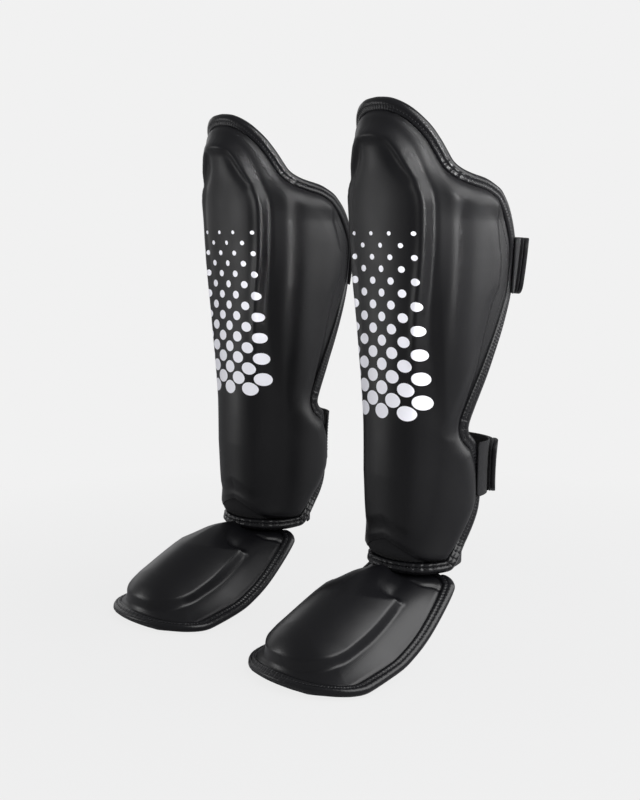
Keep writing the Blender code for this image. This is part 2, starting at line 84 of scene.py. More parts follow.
# Moulded forms seen on the cover, in mm: arc from the centre line, height above the hem
PLATE_LINE = ((0, 361.5), (8, 360.5), (14.5, 357.5), (19, 353), (23, 346.5), (26.5, 339), (30.5, 329.5),
              (34.5, 318), (37, 306), (37.2, 290), (36, 264), (33.5, 234), (30.5, 202), (28, 162), (26.5, 113),
              (25.5, 73), (24, 49), (20, 36), (12, 37.7), (0, 42))
DENT_LINE = ((13.5, 352), (16, 345), (18, 338.5), (20.8, 333), (24.5, 328.5), (28.5, 323.5))
# Width of the thin margin round the pad at each height of the outline: part of the shin height, metres
MARGIN_WIDTHS = ((0, .0095), (.10, .0100), (.28, .0105), (.36, .012), (.45, .017), (.52, .024), (.58, .029),
                 (.69, .029), (.75, .022), (.785, .014), (.815, .0105), (1, .0105))
# Crest of the instep dome: part of the way from collar to toe, part of the half width
DOME_LINE = ((.10, 0), (.115, .10), (.17, .19), (.26, .27), (.34, .36), (.362, .46), (.362, .558), (.385, .580),
             (.45, .588), (.548, .596), (.675, .597), (.770, .592), (.838, .535), (.880, .420), (.901, .24), (.904, 0))


# Form tables

def through(points, per=12):
    """Smooth curve through given points."""
    p = np.asarray(points, float)
    p = np.vstack([2 * p[0] - p[1], p, 2 * p[-1] - p[-2]])
    t = (np.arange(per) / per)[:, None]
    out = [0.5 * (2 * b + (c - a) * t + (2 * a - 5 * b + 4 * c - d) * t ** 2 + (3 * b - a - 3 * c + d) * t ** 3)
           for a, b, c, d in zip(p, p[1:], p[2:], p[3:])]
    return np.vstack(out + [p[-2:-1]])


def along(curve, f):
    """Points at the fractions f of a curve's length."""
    run = np.concatenate([[0], np.cumsum(np.linalg.norm(np.diff(curve, axis=0), axis=1))])
    return np.stack([np.interp(f, run / run[-1], curve[:, k]) for k in range(curve.shape[1])], axis=-1)


def mix(a, b, t):
    return a + (b - a) * t


def rise(x, low, high):
    """Smooth step from 0 at low to 1 at high."""
    t = np.clip((x - low) / (high - low), 0, 1)
    return t * t * (3 - 2 * t)


def bump(x, centre, width):
    return np.exp(-((x - centre) / width) ** 2)


def unit(v):
    return v / np.linalg.norm(v, axis=-1, keepdims=True)


class Form:
    """Surface table: points and normals over two coordinates, mirrored for a negative first one."""

    def __init__(self, first, second, points, turn):
        self.start = first[0], second[0]
        self.step = first[1] - first[0], second[1] - second[0]
        self.points = points
        normal = np.cross(np.gradient(points, axis=0), np.gradient(points, axis=1)) * turn
        self.normals = unit(normal)

    def at(self, a, b, n=0.0):
        a, b, n = np.broadcast_arrays(np.asarray(a, float), b, n)
        i, j = (np.abs(a) - self.start[0]) / self.step[0], (b - self.start[1]) / self.step[1]
        i, j = np.clip(i, 0, len(self.points) - 1.001), np.clip(j, 0, self.points.shape[1] - 1.001)
        i0, j0 = i.astype(int), j.astype(int)
        fi, fj = (i - i0)[..., None], (j - j0)[..., None]
        point, normal = (mix(mix(t[i0, j0], t[i0 + 1, j0], fi), mix(t[i0, j0 + 1], t[i0 + 1, j0 + 1], fi), fj)
                         for t in (self.points, self.normals))
        out = point + unit(normal) * n[..., None]
        out[..., 0] *= np.where(a < 0, -1, 1)
        return out


LEG_CURVE = through(LEG_STATIONS)
ARCS, HEIGHTS = np.linspace(-0.006, 0.36, 733), np.linspace(-0.02, SHIN_HEIGHT + 0.02, 421)


def leg_section(h):
    width, front, back = (np.interp(h / SHIN_HEIGHT, LEG_CURVE[:, 0], LEG_CURVE[:, k]) for k in (1, 2, 3))
    power = np.interp(h / SHIN_HEIGHT, *np.transpose(FRONT_POWERS))
    t = np.linspace(0, math.pi, 961)
    power = np.where(t < math.pi / 2, power, BACK_POWER)
    x = width * np.abs(np.sin(t)) ** (2 / power)
    y = -np.sign(np.cos(t)) * np.abs(np.cos(t)) ** (2 / power)
    y = np.where(y < 0, y * front, y * back)
    return np.concatenate([[0], np.cumsum(np.hypot(np.diff(x), np.diff(y)))]), x, y


def leg_form():
    rings = []
    for h in HEIGHTS:
        arc, x, y = leg_section(h)
        s = np.where(ARCS > arc[-1], ARCS - 2 * arc[-1], ARCS)
        rings.append(np.column_stack([np.interp(abs(s), arc, x) * np.sign(s), np.interp(abs(s), arc, y),
                                      np.full(len(s), SHIN_RISE + h)]))
    return Form(ARCS, HEIGHTS, np.array(rings).transpose(1, 0, 2), 1)


LEG = leg_form()
HALF_GIRTH = np.array([leg_section(h)[0][-1] for h in HEIGHTS])


def half_girth(h):
    return np.interp(h, HEIGHTS, HALF_GIRTH)


def foot_form():
    start, corner = (LEG.at(q * COLLAR_HALF, COLLAR_HEIGHT, -COLLAR_INSET) for q in (0, 1))
    centre = through(FOOT_CENTRE)
    centre = np.column_stack([centre[:, 0] * 0, mix(start[1], -FOOT_REACH, centre[:, 0]),
                              mix(start[2], TOE_RISE + 0.0013, centre[:, 1])])
    edge = through([corner] + [(x * FOOT_HALF_WIDTH, mix(corner[1], TOE_SETBACK - FOOT_REACH, y),
                                mix(corner[2], 0.0025, z)) for x, y, z in FOOT_EDGE])
    q, p = np.linspace(-0.04, 1.06, 111), np.linspace(0, 1, 161)
    middle, side = along(centre, p), along(edge, p)
    power = np.interp(p, (0, 0.2, 1), (2.4, 1.6, 1.7))
    shape = lambda t: (t * t + 0.0625) ** (power / 2) - 0.25 ** power
    points = [np.column_stack([side[:, 0] * t, *(mix(middle[:, k], side[:, k], shape(t) / shape(1)) for k in (1, 2))])
              for t in q]
    return Form(q, p, np.array(points), -1)


FOOT = foot_form()

SCALE = np.array([FLAP_REACH, SHIN_HEIGHT])
LOBE_CURVE = through(LOBE) * SCALE
FLAP_CURVE = (through(FLAPS) * SCALE)[::-1]
HEM_CURVE = (through(HEM) * SCALE)[::-1]
SIDE_EDGE = np.vstack([FLAP_CURVE, LOBE_CURVE[-2::-1]])


def inward_shift(edge):
    return edge[..., 0] * (np.interp(edge[..., 1] / SHIN_HEIGHT, *np.transpose(INWARD_REACH)) - 1)


def flap_edges(h_low, h_high):
    edge = FLAP_CURVE[(FLAP_CURVE[:, 1] > h_low) & (FLAP_CURVE[:, 1] < h_high)]
    return edge[:, 0].max(), (edge[:, 0] + inward_shift(edge)).max()


def shin_flat(a, v):
    """Place on the shin part laid flat: a across from inward -1 to outward 1, v from hem to lobe."""
    b = np.abs(a)
    hem, lobe, edge = along(HEM_CURVE, b), along(LOBE_CURVE, b), along(FLAP_CURVE, v)
    centre = np.stack([v * 0, SHIN_HEIGHT * np.interp(v, (0, SEAM_SIDE, 1), (0, SEAM_CENTRE, 1))], axis=-1)
    b, w = b[..., None], v[..., None]
    corners = mix(mix(HEM_CURVE[0], HEM_CURVE[-1], b), mix(LOBE_CURVE[0], LOBE_CURVE[-1], b), w)
    flat = mix(hem, lobe, w) + mix(centre, edge, b) - corners
    reach = edge[..., 0]
    start, full = np.minimum(0.040 / reach, 0.58), 1 - PAD_EDGE / reach
    shift = inward_shift(edge) * np.clip((np.abs(a) - start) / (full - start), 0, 1)
    return np.stack([np.where(a < 0, -flat[..., 0] - shift, flat[..., 0]), flat[..., 1]], axis=-1)


def outline(step=0.0005):
    """The shin part's outline laid flat, once round, with eased corners and even steps."""
    t = np.linspace(0, 1, 400)[:-1]
    one = np.ones_like(t)
    loop = np.vstack([shin_flat(mix(-1, 1, t), 0 * t), shin_flat(one, t), shin_flat(mix(1, -1, t), one),
                      shin_flat(-one, 1 - t)])
    loop = even(loop, step)
    for _ in range(40):
        loop = (np.roll(loop, 1, 0) + 2 * loop + np.roll(loop, -1, 0)) / 4
    return even(loop, step)


def even(loop, step):
    loop = np.vstack([loop, loop[:1]])
    count = round(np.linalg.norm(np.diff(loop, axis=0), axis=1).sum() / step)
    return along(loop, np.arange(count) / count)


OUTLINE = outline()


def distance(points, line):
    tree = kdtree.KDTree(len(line))
    for k, (x, y) in enumerate(line):
        tree.insert((x, y, 0), k)
    tree.balance()
    return np.array([tree.find((x, y, 0))[2] for x, y in points.reshape(-1, 2)]).reshape(points.shape[:-1])


def inside(points, line):
    x, y = points[..., 0], points[..., 1]
    odd = np.zeros(x.shape, bool)
    for (x0, y0), (x1, y1) in zip(line, np.roll(line, -1, 0)):
        if y0 != y1:
            odd ^= ((y0 > y) != (y1 > y)) & (x < x0 + (y - y0) / (y1 - y0) * (x1 - x0))
    return odd


def depth_in(points, half_line):
    """Signed distance inside a closed line given by its outward half."""
    half = through(half_line)
    half = along(half, np.linspace(0, 1, 500))
    line = np.vstack([half, half[-2:0:-1] * (-1, 1)])
    return np.where(inside(points, line), 1, -1) * distance(points, line)


# Modelling helpers

def clean_select(obj):
    bpy.ops.object.select_all(action="DESELECT")
    obj.select_set(True)
    bpy.context.view_layer.objects.active = obj


def apply_modifier(obj, kind, **settings):
    clean_select(obj)
    modifier = obj.modifiers.new(kind.title(), kind)
    for key, value in settings.items():
        setattr(modifier, key, value)
    bpy.ops.object.modifier_apply(modifier=modifier.name)


def get_points(obj):
    flat = np.empty(len(obj.data.vertices) * 3)
    obj.data.vertices.foreach_get("co", flat)
    return flat.reshape(-1, 3)


def set_points(obj, points):
    obj.data.vertices.foreach_set("co", np.ascontiguousarray(points).ravel())
    obj.data.update()


def patch(name, columns, rows, outer, under, flat=None, edge=0.0):
    """Closed piece from a primitive grid: outer(u, v) and under(u, v) move its two sides, u and v from 0 to 1."""
    bpy.ops.mesh.primitive_grid_add(x_subdivisions=columns, y_subdivisions=rows, size=1)
    obj = bpy.context.object
    obj.name = obj.data.name = name
    uv = get_points(obj)[:, :2] + 0.5
    apply_modifier(obj, "SOLIDIFY", thickness=0.01, offset=-1)
    uv = np.clip(uv, 0, 1)
    set_points(obj, np.vstack([outer(*uv.T), under(*uv.T)]))
    if flat is not None:
        spot = np.tile(flat(*uv.T), (2, 1))
        corner = np.empty(len(obj.data.loops), int)
        obj.data.loops.foreach_get("vertex_index", corner)
        obj.data.uv_layers[0].data.foreach_set("uv", spot[corner].ravel())
    return finish_piece(obj, edge)


def finish_piece(obj, edge=0.0, angle=60):
    """Outward faces, soft edges where asked, smooth shading, set on the left guard's leg."""
    clean_select(obj)
    bpy.ops.object.mode_set(mode="EDIT")
    bpy.ops.mesh.select_all(action="SELECT")
    bpy.ops.mesh.normals_make_consistent(inside=False)
    bpy.ops.object.mode_set(mode="OBJECT")
    if edge:
        apply_modifier(obj, "BEVEL", width=edge, segments=2, limit_method="ANGLE", angle_limit=math.radians(50))
    clean_select(obj)
    bpy.ops.object.shade_smooth_by_angle(angle=math.radians(angle))
    obj.data.transform(Matrix.Translation((PAIR_SPACING / 2, 0, 0)))
    return obj


def swept(name, rings, closed, uvs):
    """Piece swept through matching rings of points: a primitive grid rolled up, its seams merged, its ends filled."""
    rings, uvs = (np.concatenate([x, x[:, :1]], axis=1) for x in (rings, uvs))
    if closed:
        rings, uvs = (np.concatenate([x, x[:1]]) for x in (rings, uvs))
    count, around = rings.shape[:2]
    bpy.ops.mesh.primitive_grid_add(x_subdivisions=count - 1, y_subdivisions=around - 1, size=1)
    obj = bpy.context.object
    obj.name = obj.data.name = name
    spot = get_points(obj)[:, :2] + 0.5
    i, j = (np.rint(spot[:, k] * (n - 1)).astype(int) for k, n in ((0, count), (1, around)))
    set_points(obj, rings[i, j])
    corner = np.empty(len(obj.data.loops), int)
    obj.data.loops.foreach_get("vertex_index", corner)
    obj.data.uv_layers[0].data.foreach_set("uv", uvs[i, j][corner].ravel())
    bpy.ops.object.mode_set(mode="EDIT")
    bpy.ops.mesh.select_all(action="SELECT")
    bpy.ops.mesh.remove_doubles(threshold=1e-7)
    if not closed:
        bpy.ops.mesh.fill_holes(sides=0)
    bpy.ops.object.mode_set(mode="OBJECT")
    return finish_piece(obj)


def stitches(name, ends, normals, thick=0.0006):
    """Row of threads: one modelled thread, copied to each pair of ends."""
    bpy.ops.mesh.primitive_uv_sphere_add(segments=8, ring_count=5, radius=0.5)
    obj = bpy.context.object
    obj.name = obj.data.name = name
    unit_points = get_points(obj)
    faces = [tuple(p.vertices) for p in obj.data.polygons]
    a, b = ends[:, 0], ends[:, 1]
    run = b - a
    side = unit(np.cross(normals, run))
    up = unit(np.cross(run, side))
    x, y, z = unit_points.T
    points = ((a + b)[:, None] / 2 + z[None, :, None] * run[:, None] + x[None, :, None] * side[:, None] * thick
              + y[None, :, None] * up[:, None] * thick)
    count = len(unit_points)
    obj.data.clear_geometry()
    obj.data.from_pydata(points.reshape(-1, 3).tolist(), [],
                         [tuple(i + k * count for i in f) for k in range(len(ends)) for f in faces])
    return finish_piece(obj)


def stitch_row(form, line, level, pitch=STITCH, fill=0.64):
    """Ends and normals of stitches along a line of form coordinates, at a level or one for each point."""
    line = np.column_stack([np.asarray(line, float), np.broadcast_to(level, len(line))])
    place = form.at(*line.T)
    run = np.concatenate([[0], np.cumsum(np.linalg.norm(np.diff(place, axis=0), axis=1))])
    starts = np.arange(pitch, run[-1] - pitch, pitch)
    spots = [np.stack([np.interp(starts + d, run, line[:, k]) for k in range(3)]) for d in (0, pitch * fill)]
    ends = np.stack([form.at(*s) for s in spots], 1)
    normal = form.at(*spots[0][:2], 1) - form.at(*spots[0][:2], 0)
    return ends, normal


def both(obj, body, nodes=()):
    """The left piece and its mirrored copy, each riding on its own guard's body."""
    twin = obj.copy()
    twin.data = obj.data.copy()
    twin.name = twin.data.name = obj.name.replace("left_", "right_")
    bpy.context.collection.objects.link(twin)
    twin.data.transform(Matrix.Scale(-1, 4, (1, 0, 0)))
    twin.data.flip_normals()
    for side, piece in (("left", obj), ("right", twin)):
        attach(piece, f"{side}_{body}")
        if nodes:
            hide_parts(*(f"{side}_{n}" for n in nodes))
    return obj, twin


# Materials

def rgb(code):
    parts = [int(code[i:i + 2], 16) / 255 for i in (1, 3, 5)]
    return tuple(c / 12.92 if c <= 0.04045 else ((c + 0.055) / 1.055) ** 2.4 for c in parts) + (1,)


def node(tree, kind, inputs=None, **settings):
    """Add a node; inputs are values or output sockets, keyed by socket name or number."""
    item = tree.nodes.new(kind)
    for key, value in settings.items():
        setattr(item, key, value)
    for key, value in (inputs or {}).items():
        if isinstance(value, bpy.types.NodeSocket):
            tree.links.new(value, item.inputs[key])
        else:
            item.inputs[key].default_value = value
    return item


def material(name, colour, roughness, **values):
    mat = bpy.data.materials.new(name)
    mat.use_nodes = True
    shader = mat.node_tree.nodes["Principled BSDF"]
    for key, value in {"Base Color": rgb(colour), "Roughness": roughness, **values}.items():
        shader.inputs[key].default_value = value
    return mat, mat.node_tree, shader


def grain(tree, shader, scale, strength, reach, detail=2.0):
    """Fine unevenness of the surface, scale in bumps per metre, reach in metres."""
    coords = node(tree, "ShaderNodeTexCoord")
    noise = node(tree, "ShaderNodeTexNoise", {"Vector": coords.outputs["Object"], "Scale": scale, "Detail": detail})
    relief = node(tree, "ShaderNodeBump", {"Height": noise.outputs["Fac"], "Strength": strength, "Distance": reach})
    tree.links.new(relief.outputs["Normal"], shader.inputs["Normal"])
    return noise


def leather(name, colour, roughness):
    """Smooth coated leathercloth: satin black with broad soft highlights."""
    mat, tree, shader = material(name, colour, roughness, **{"Specular IOR Level": 0.24})
    grain(tree, shader, 1100, 0.10, 0.0003)
    coords = node(tree, "ShaderNodeTexCoord")
    cloud = node(tree, "ShaderNodeTexNoise", {"Vector": coords.outputs["Object"], "Scale": 35.0, "Detail": 3.0})
    span = node(tree, "ShaderNodeMapRange", {"Value": cloud.outputs["Fac"], "From Min": 0.3, "From Max": 0.7,
                                            "To Min": roughness - 0.03, "To Max": roughness + 0.04})
    tree.links.new(span.outputs["Result"], shader.inputs["Roughness"])
    return mat, tree, shader


def printed(mat, tree, shader, ground):
    """White print on the shin: staggered dots that shrink upward, laid out by flat place in metres."""
    uv = node(tree, "ShaderNodeUVMap", uv_map="UVMap")
    pitch = 0.0135
    turned = node(tree, "ShaderNodeMapping", {"Vector": uv.outputs["UV"], "Rotation": (0, 0, math.radians(45)),
                                              "Scale": (1 / pitch, 1 / pitch, 1)})
    spots = node(tree, "ShaderNodeTexVoronoi", {"Vector": turned.outputs["Vector"], "Scale": 1.0, "Randomness": 0.0},
                 voronoi_dimensions="2D")
    # flat place of each dot's middle, so that every dot is whole
    side = pitch * math.sqrt(0.5)
    middles = [node(tree, "ShaderNodeVectorMath", {0: spots.outputs["Position"], 1: way}, operation="DOT_PRODUCT")
               for way in ((side, side, 0), (-side, side, 0))]
    size = node(tree, "ShaderNodeMapRange", {"Value": middles[1].outputs["Value"], "From Min": 0.130, "From Max": 0.285,
                                            "To Min": 0.47, "To Max": 0.11})
    mask = node(tree, "ShaderNodeMath", {0: spots.outputs["Distance"], 1: size.outputs["Result"]}, operation="LESS_THAN")
    for spot, middle, reach in zip(middles, (0.0, 0.2053), (0.0300, 0.0764)):
        inside_of = node(tree, "ShaderNodeMath", {0: spot.outputs["Value"], 1: middle, 2: reach}, operation="COMPARE")
        mask = node(tree, "ShaderNodeMath", {0: mask.outputs["Value"], 1: inside_of.outputs["Value"]}, operation="MULTIPLY")
    colour = node(tree, "ShaderNodeMix", {"Factor": mask.outputs["Value"], 6: rgb(ground), 7: rgb("#F4F4FA")},
                  data_type="RGBA")
    tree.links.new(colour.outputs[2], shader.inputs["Base Color"])
    return mat


def woven(name, colour, across, along_, strength, roughness=0.85):
    """Cloth or webbing: ribs along and across, laid out by flat place in metres."""
    mat, tree, shader = material(name, colour, roughness, **{"Sheen Weight": 0.05, "Sheen Roughness": 0.5,
                                                             "Specular IOR Level": 0.2})
    uv = node(tree, "ShaderNodeUVMap", uv_map="UVMap")
    waves = [node(tree, "ShaderNodeTexWave", {"Vector": uv.outputs["UV"], "Scale": 1 / (pitch * math.tau) * math.pi / 10},
                  bands_direction=axis, wave_profile="SIN") for pitch, axis in ((across, "X"), (along_, "Y"))]
    height = node(tree, "ShaderNodeMath", {0: waves[0].outputs["Fac"], 1: waves[1].outputs["Fac"]}, operation="ADD")
    relief = node(tree, "ShaderNodeBump", {"Height": height.outputs["Value"], "Strength": strength, "Distance": 0.0004})
    tree.links.new(relief.outputs["Normal"], shader.inputs["Normal"])
    return mat


def napped(name, colour, scale, strength):
    """Hook or loop tape: short matt pile that breaks up the light."""
    mat, tree, shader = material(name, colour, 0.95, **{"Sheen Weight": 0.05, "Sheen Roughness": 0.6,
                                                        "Specular IOR Level": 0.1})
    grain(tree, shader, scale, strength, 0.0008, 4.0)
    return mat


GROUND = "#09090B"
pu_shin = printed(*leather("PU leather, shin", GROUND, 0.40), GROUND)
pu_foot = leather("PU leather, instep", "#0B0B0D", 0.33)[0]
pu_tab = leather("PU leather, tabs", "#0B0B0D", 0.45)[0]
# Vinyl edge tape: the shiniest black, thin bright lines along its roll
binding_vinyl = leather("Binding vinyl", "#0B0B0D", 0.30)[0]
# Jersey-faced neoprene: dull black that takes no highlight
neoprene = napped("Neoprene", "#0E0E10", 900, 0.15)
elastic = woven("Elastic webbing", "#141416", 0.0016, 0.0009, 0.6)
lining_cloth = woven("Lining cloth", "#1B1B1E", 0.0022, 0.0022, 0.35)
loop_tape = napped("Loop tape", "#131315", 1500, 0.6)
hook_tape = napped("Hook tape", "#0F0F11", 1100, 0.9)
# Polyester thread: faint sheen on each stitch
thread = material("Thread", "#151518", 0.45)[0]


def dress(obj, mat):
    obj.data.materials.clear()
    obj.data.materials.append(mat)
    return obj


# Shin cover

def seam_at(a):
    """Ankle seam: how far up the flap edge it meets each column."""
    return mix(0.036, 0.005, np.clip(np.abs(a) / 0.85, 0, 1) ** 1.6)


def shin_across(u):
    """Columns, closer together towards the edges; stops just inside the binding's fold."""
    x = 2 * u - 1
    return np.sign(x) * np.interp(np.abs(x), (0, 0.30, 0.55, 0.80, 1), (0, 0.27, 0.52, 0.80, 0.972))


def cover_flat(u, v):
    a = shin_across(u)
    low = seam_at(a)
    return shin_flat(a, mix(low, 0.990, v))


def cover_height(flat):
    """Outer surface of the moulded pad above the leg side."""
    s, h = flat[..., 0], flat[..., 1]
    edge, level = distance(flat, OUTLINE), h / SHIN_HEIGHT
    width = np.interp(level, *np.transpose(MARGIN_WIDTHS))
    crease = np.interp(h, *SIDE_EDGE.T[::-1]) - width
    crease = np.where(s < 0, crease * np.interp(level, *np.transpose(INWARD_REACH)), crease)
    slope = np.clip((crease + 0.002 - np.abs(s)) / np.maximum(crease - 0.040, 0.014), 0, 1) ** 1.1
    crisp = 0.36 * rise(edge, width - 0.0045, width + 0.0015) + 0.64 * slope * rise(edge, width - 0.004, width + 0.010)
    roll = np.clip((edge - 0.0080) / mix(0.006, 0.015, rise(level, 0.02, 0.10)), 0, 1)
    soft = np.sqrt(1 - (1 - roll) ** 2)
    shape = mix(crisp, soft, np.maximum(rise(level, 0.75, 0.83), rise(-level, -0.36, -0.26)))
    pad = MARGIN + 0.0002 + (PAD - MARGIN) * shape
    # raised plate: a rounded ridge above, a faint broad step below
    e = depth_in(flat * 1000, PLATE_LINE) / 1000
    blur = np.interp(h, (0.04, 0.06, 0.12, 0.19, 0.25, 0.32, 0.345), (.0080, .0090, .0130, .0056, .0029, .0029, .0062))
    keen = np.interp(h, (0.03, 0.05, 0.12, 0.18, 0.24, 0.31, 0.34), (0.0, 0.1, 0.1, 0.7, 1.0, 1.0, 0.6))
    tall = PLATE_RAISE * np.interp(h, (0.035, 0.08, 0.20, 0.25), (0.5, 1.0, 1.05, 1.28))
    plate = tall * rise(e, -blur, 0.8 * blur) + 0.0019 * keen * bump(e, 0.0032, 0.0030)
    plate += (0.0020 * bump(h, 0.286, 0.030) - 0.0024 * bump(h, 0.347, 0.020)) * rise(e, 0.0, 0.012)
    plate -= keen * 0.0012 * bump(e, -0.0088, 0.0050)
    # dented crescent beside the arch, and the bulge between its two horns
    arch = along(through(np.array(DENT_LINE) / 1000), np.linspace(0, 1, 120))
    dent = distance(np.abs(flat * (1, 0)) + flat * (0, 1), arch)
    plate -= 0.0020 * bump(dent, 0, 0.0048)
    plate += 0.0008 * bump(s, 0, 0.010) * bump(h, 0.341, 0.016)
    # flank swells between the valley and the flap
    flank = 0.0042 * bump(np.abs(s), 0.051, 0.016) * rise(h, 0.10, 0.20) * rise(-h, -0.34, -0.30)
    return pad + (plate + flank) * shape - 0.0005 * bump(edge, 0.0092, 0.0010)


def shin_cover():
    def outer(u, v):
        flat = cover_flat(u, v)
        rolled = 0.0016 * bump(v, 0, 0.0065)
        return LEG.at(flat[:, 0], flat[:, 1], cover_height(flat) - rolled)

    def under(u, v):
        flat = cover_flat(u, v)
        return LEG.at(flat[:, 0], flat[:, 1], LINING + 0.0002)

    columns, rows = ((180, 220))
    obj = patch("left_shin_cover", columns, rows, outer, under, cover_flat)
    for piece in both(dress(obj, pu_shin), "shin", ("shin_cover", "shin_foam", "shin_plate_foam")):
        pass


def ankle_panel():
    """Padded cloth under the cover's edge, a little lower than it at the seam."""
    def flat(u, v):
        a = shin_across(u)
        return shin_flat(a, mix(0.004, seam_at(a) + 0.012, v))

    def outer(u, v):
        place = flat(u, v)
        return LEG.at(*place.T, cover_height(place) - 0.0012 * rise(-v, -1.0, -0.55) - 0.0012)

    obj = patch("left_ankle_panel", 90, 26, outer, lambda u, v: LEG.at(*flat(u, v).T, LINING + 0.0002), flat)
    for piece in both(dress(obj, neoprene), "shin", ("ankle_panel",)):
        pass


def shin_lining():
    def flat(u, v):
        return shin_flat(mix(-0.975, 0.975, u), mix(0.008, 0.992, v))

    obj = patch("left_shin_lining", 72, 96, lambda u, v: LEG.at(*flat(u, v).T, LINING),
                lambda u, v: LEG.at(*flat(u, v).T, 0.0), flat)
    for piece in both(dress(obj, lining_cloth), "shin", ("shin_lining",)):
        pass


# Edge binding: distance in from the edge, height above the leg side
ROLL = np.array([(8.7, 3.2), (8.2, 4.3), (6.9, 4.9), (5.6, 4.9), (4.6, 4.5), (3.6, 5.0), (2.2, 5.2), (0.8, 4.9),
                 (-0.8, 4.0), (-1.7, 2.5), (-1.8, 0.9), (-1.2, -0.8), (0.4, -1.8), (3.0, -2.1), (6.0, -1.9),
                 (8.4, -1.0)]) / 1000


def binding(name, form, line, into, closed, metric, pucker, thick):
    """Rolled tape round an edge line, drawn in at each stitch; metric scales metres to form coordinates."""
    run = np.concatenate([[0], np.cumsum(np.linalg.norm(np.diff(form.at(*line.T), axis=0), axis=1))])
    wave = np.cos(run / STITCH * math.tau)[:, None]
    crinkle = (np.sin(run / 0.0061 * math.tau + 2 * np.sin(run / 0.019)) * pucker)[:, None]
    t, n = ROLL[:, 0][None], ROLL[:, 1][None]
    top = (n > 0.003).astype(float)
    n = n * np.where(n > 0, thick[:, None], 1) + top * (0.00012 * wave * bump(t, 0.0050, 0.0030) + 0.00030 * crinkle * bump(t, 0.005, 0.004))
    spots = line[:, None] + into[:, None] * (t[..., None] * metric[:, None])
    rings = form.at(spots[..., 0], spots[..., 1], n)
    around = np.broadcast_to(np.arange(len(ROLL)) * 0.0015, n.shape)
    uvs = np.stack([np.broadcast_to(run[:, None], n.shape), around], -1)
    return swept(name, rings, closed, uvs)


def shin_binding():
    line = OUTLINE
    tangent = unit(np.roll(line, -3, 0) - np.roll(line, 3, 0))
    into = np.column_stack([-tangent[:, 1], tangent[:, 0]])
    bend = np.cross(np.roll(tangent, 12, 0), np.roll(tangent, -12, 0))
    pucker = 0.05 + 0.95 * np.clip(rise(-bend, 0.05, 0.4) + rise(0.03 - line[:, 1], 0, 0.02), 0, 1)
    thick = 1 + 0.8 * rise(-line[:, 1], -0.025, -0.006)
    obj = binding("left_shin_binding", LEG, line, into, True, np.ones((len(line), 2)), pucker, thick)
    both(dress(obj, binding_vinyl), "shin", ("shin_binding",))
    seam = line + into * 0.0046
    rows = [stitch_row(LEG, np.vstack([seam, seam[:1]]), 0.0045 * np.append(thick, thick[0]) + 0.0002)]
    # second row of stitches on the upper flaps' thin margin
    inner = line + into * 0.0145
    keep = (np.abs(inner[:, 0]) > 0.075) & (inner[:, 1] > 0.20) & (inner[:, 1] < 0.300)
    for half in (inner[keep & (inner[:, 0] > 0)], inner[keep & (inner[:, 0] < 0)]):
        rows.append(stitch_row(LEG, half, MARGIN + 0.0003))
    obj = stitches("left_shin_stitching", *(np.concatenate(x) for x in zip(*rows)))
    both(dress(obj, thread), "shin")


# Ankle

def round_back(start, end, h_low, h_high):
    """Arc at part u of the way from a mark on the outward side, round the back, to one on the inward side."""
    def arc(u, v):
        h = mix(h_low, h_high, v)
        return np.column_stack([mix(start, 2 * half_girth(h) - end, u), h])
    return arc


def gusset_and_band():
    def web(u, v):
        return np.column_stack([mix(-0.043, 0.043, u), mix(0.002, 0.034, v)])

    obj = patch("left_ankle_gusset", 40, 12, lambda u, v: LEG.at(*web(u, v).T, UNDER),
                lambda u, v: LEG.at(*web(u, v).T, UNDER - 0.0012), web, 0.0003)
    for piece in both(dress(obj, neoprene), "shin", ("ankle_gusset",)):
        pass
    middle = SHIN_HEIGHT * 0.03
    low, high = 0.002, middle + ANKLE_BAND_WIDTH / 2
    start, end = (edge - 0.005 for edge in flap_edges(middle * 0.5, high))
    arc = round_back(start, end, low, high)
    def level(u):
        return UNDER - GAP - BAND_SLACK * np.sin(math.pi * u)

    obj = patch("left_ankle_band", 70, 10, lambda u, v: LEG.at(*arc(u, v).T, level(u)),
                lambda u, v: LEG.at(*arc(u, v).T, level(u) - ELASTIC), arc, 0.0004)
    both(dress(obj, elastic), "shin", ("ankle_band",))


# Straps

def rounded(u, v, length, radius, ends=(True, True)):
    """Squares off to rounded corners: v drawn in near the chosen ends of a band of this length."""
    x = np.minimum(u if ends[0] else 1 + 0 * u, 1 - u if ends[1] else 1 + 0 * u) * length
    x = np.clip(x, 0, radius)
    inset = radius - np.sqrt(np.maximum(radius ** 2 - (radius - x) ** 2, 0))
    return mix(inset, STRAP_WIDTH - inset, v) / STRAP_WIDTH


